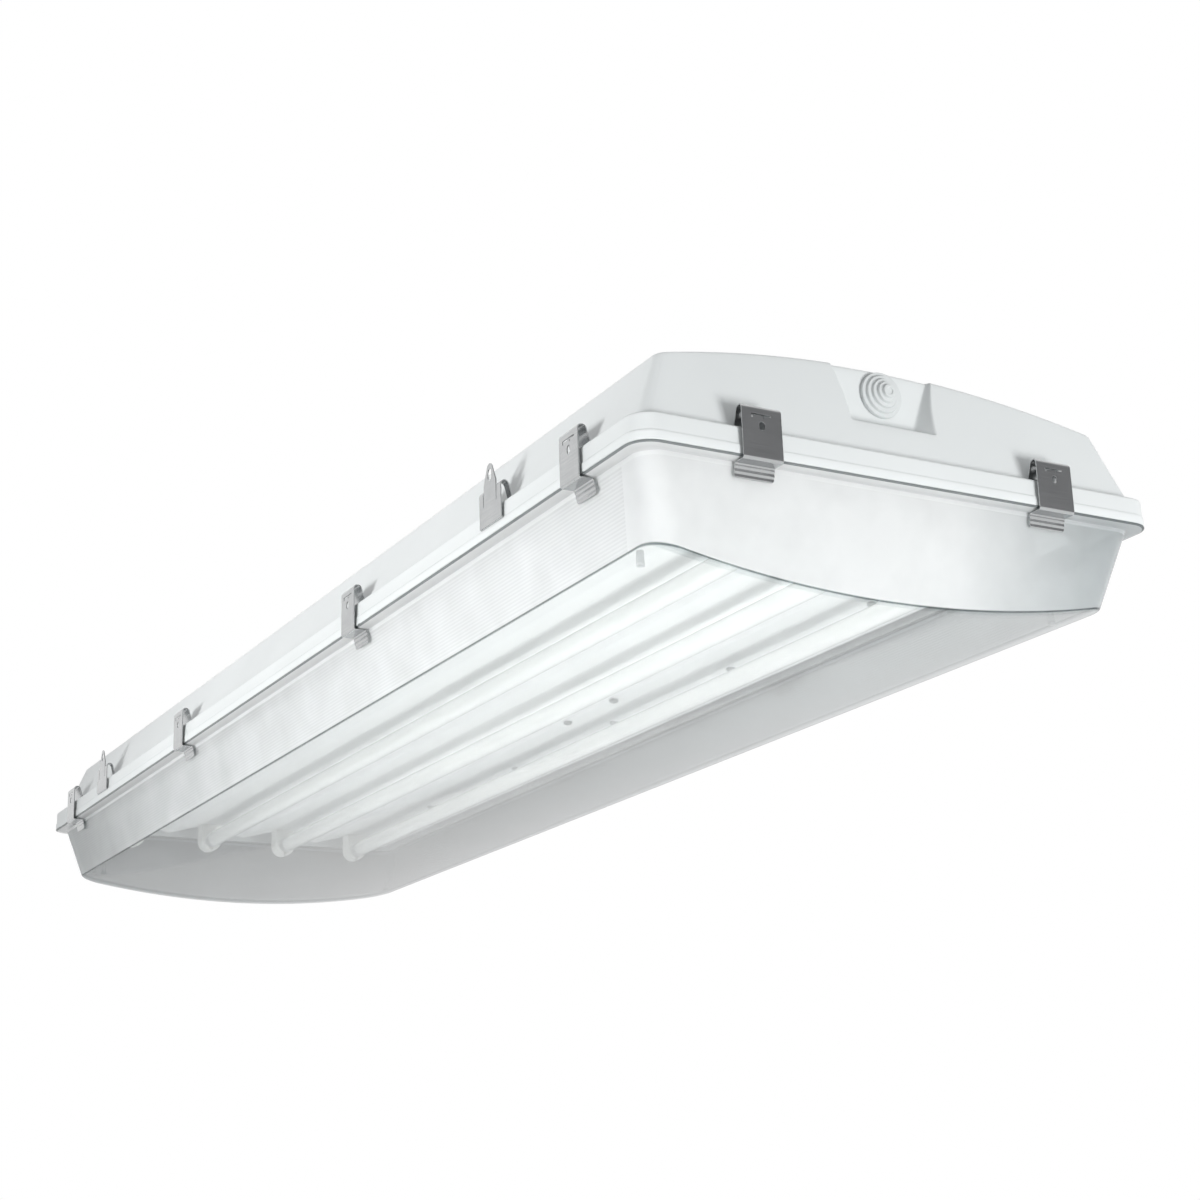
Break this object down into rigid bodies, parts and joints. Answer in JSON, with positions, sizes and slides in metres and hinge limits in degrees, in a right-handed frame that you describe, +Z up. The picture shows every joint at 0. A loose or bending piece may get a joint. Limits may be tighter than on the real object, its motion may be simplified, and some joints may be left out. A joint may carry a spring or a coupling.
{
  "type": "vapor tight light fixture",
  "caption": "Enclosed gasketed fluorescent ceiling light: shallow moulded housing, clear ribbed lens, spring latches, hangers, white reflector and thin tube lamps.",
  "frame": {"origin": "middle of the seam between lens and housing, on the plane of the lens flange's underside", "axes": "+X along the length towards the near end, where the cable enters; +Z up to the housing's back; Y across"},
  "size_m": [1.2852, 0.4102, 0.1596],
  "materials": {
    "housing": "light grey moulded plastic, satin",
    "lens": "clear moulded plastic, fine ribs on the long walls",
    "gasket": "foamed seal, matt",
    "stainless": "brushed stainless spring steel",
    "reflector": "white enamel, satin",
    "lamp_glass": "white coated glass",
    "lamp_cap": "satin",
    "lampholder": "white moulded plastic",
    "screw": "zinc plated",
    "ballast": "white enamel",
    "terminal_block": "moulded plastic",
    "wire": "bundled wire in a sleeve",
    "grommet": "light grey rubber"
  },
  "bodies": {
    "fixture": {"housing": "housing", "gasket": "gasket", "lens": "lens", "reflector": "reflector", "ballast_1": "ballast", "ballast_2": "ballast", "terminal_block": "terminal_block", "terminal_block_screw_1": "screw", "terminal_block_screw_2": "screw", "wiring_loom_near": "wire", "wiring_loom_far": "wire", "cable_grommet_near": "grommet", "cable_grommet_far": "grommet", "hanger_a_far": "stainless", "hanger_a_near": "stainless", "hanger_b_far": "stainless", "hanger_b_near": "stainless", "reflector_screw_a1": "screw", "reflector_screw_a2": "screw", "reflector_screw_a3": "screw", "reflector_screw_a4": "screw", "reflector_screw_a5": "screw", "reflector_screw_b1": "screw", "reflector_screw_b2": "screw", "reflector_screw_b3": "screw", "reflector_screw_b4": "screw", "reflector_screw_b5": "screw", "lampholder_near_1": "lampholder", "lampholder_near_2": "lampholder", "lampholder_near_3": "lampholder", "lampholder_near_4": "lampholder", "lampholder_far_1": "lampholder", "lampholder_far_2": "lampholder", "lampholder_far_3": "lampholder", "lampholder_far_4": "lampholder"},
    "latch_side_a1": {"latch_side_a1": "stainless"},
    "latch_side_a2": {"latch_side_a2": "stainless"},
    "latch_side_a3": {"latch_side_a3": "stainless"},
    "latch_side_a4": {"latch_side_a4": "stainless"},
    "latch_side_b1": {"latch_side_b1": "stainless"},
    "latch_side_b2": {"latch_side_b2": "stainless"},
    "latch_side_b3": {"latch_side_b3": "stainless"},
    "latch_side_b4": {"latch_side_b4": "stainless"},
    "latch_near_end_1": {"latch_near_end_1": "stainless"},
    "latch_near_end_2": {"latch_near_end_2": "stainless"},
    "latch_far_end_1": {"latch_far_end_1": "stainless"},
    "latch_far_end_2": {"latch_far_end_2": "stainless"},
    "lamp_1": {"lamp_tube_1": "lamp_glass", "lamp_cap_near_1": "lamp_cap", "lamp_cap_far_1": "lamp_cap"},
    "lamp_2": {"lamp_tube_2": "lamp_glass", "lamp_cap_near_2": "lamp_cap", "lamp_cap_far_2": "lamp_cap"},
    "lamp_3": {"lamp_tube_3": "lamp_glass", "lamp_cap_near_3": "lamp_cap", "lamp_cap_far_3": "lamp_cap"},
    "lamp_4": {"lamp_tube_4": "lamp_glass", "lamp_cap_near_4": "lamp_cap", "lamp_cap_far_4": "lamp_cap"}
  },
  "joints": [
    {"name": "latch_side_a1_swing", "type": "hinge", "parent": "fixture", "child": "latch_side_a1", "pos_m": [-0.56, -0.1955, 0.022], "axis": [-1, 0, 0], "range_deg": [0, 45]},
    {"name": "latch_side_a2_swing", "type": "hinge", "parent": "fixture", "child": "latch_side_a2", "pos_m": [-0.20288, -0.1955, 0.022], "axis": [-1, 0, 0], "range_deg": [0, 45]},
    {"name": "latch_side_a3_swing", "type": "hinge", "parent": "fixture", "child": "latch_side_a3", "pos_m": [0.20288, -0.1955, 0.022], "axis": [-1, 0, 0], "range_deg": [0, 45]},
    {"name": "latch_side_a4_swing", "type": "hinge", "parent": "fixture", "child": "latch_side_a4", "pos_m": [0.56, -0.1955, 0.022], "axis": [-1, 0, 0], "range_deg": [0, 45]},
    {"name": "latch_side_b1_swing", "type": "hinge", "parent": "fixture", "child": "latch_side_b1", "pos_m": [-0.56, 0.1955, 0.022], "axis": [1, 0, 0], "range_deg": [0, 45]},
    {"name": "latch_side_b2_swing", "type": "hinge", "parent": "fixture", "child": "latch_side_b2", "pos_m": [-0.20288, 0.1955, 0.022], "axis": [1, 0, 0], "range_deg": [0, 45]},
    {"name": "latch_side_b3_swing", "type": "hinge", "parent": "fixture", "child": "latch_side_b3", "pos_m": [0.20288, 0.1955, 0.022], "axis": [1, 0, 0], "range_deg": [0, 45]},
    {"name": "latch_side_b4_swing", "type": "hinge", "parent": "fixture", "child": "latch_side_b4", "pos_m": [0.56, 0.1955, 0.022], "axis": [1, 0, 0], "range_deg": [0, 45]},
    {"name": "latch_near_end_1_swing", "type": "hinge", "parent": "fixture", "child": "latch_near_end_1", "pos_m": [0.633, -0.115, 0.022], "axis": [0, -1, 0], "range_deg": [0, 35]},
    {"name": "latch_near_end_2_swing", "type": "hinge", "parent": "fixture", "child": "latch_near_end_2", "pos_m": [0.633, 0.115, 0.022], "axis": [0, -1, 0], "range_deg": [0, 35]},
    {"name": "latch_far_end_1_swing", "type": "hinge", "parent": "fixture", "child": "latch_far_end_1", "pos_m": [-0.633, -0.115, 0.022], "axis": [0, 1, 0], "range_deg": [0, 35]},
    {"name": "latch_far_end_2_swing", "type": "hinge", "parent": "fixture", "child": "latch_far_end_2", "pos_m": [-0.633, 0.115, 0.022], "axis": [0, 1, 0], "range_deg": [0, 35]},
    {"name": "lamp_1_twist", "type": "hinge", "parent": "fixture", "child": "lamp_1", "pos_m": [0, -0.129, -0.009], "axis": [1, 0, 0], "range_deg": [0, 90]},
    {"name": "lamp_2_twist", "type": "hinge", "parent": "fixture", "child": "lamp_2", "pos_m": [0, -0.043, -0.009], "axis": [1, 0, 0], "range_deg": [0, 90]},
    {"name": "lamp_3_twist", "type": "hinge", "parent": "fixture", "child": "lamp_3", "pos_m": [0, 0.043, -0.009], "axis": [1, 0, 0], "range_deg": [0, 90]},
    {"name": "lamp_4_twist", "type": "hinge", "parent": "fixture", "child": "lamp_4", "pos_m": [0, 0.129, -0.009], "axis": [1, 0, 0], "range_deg": [0, 90]}
  ]
}
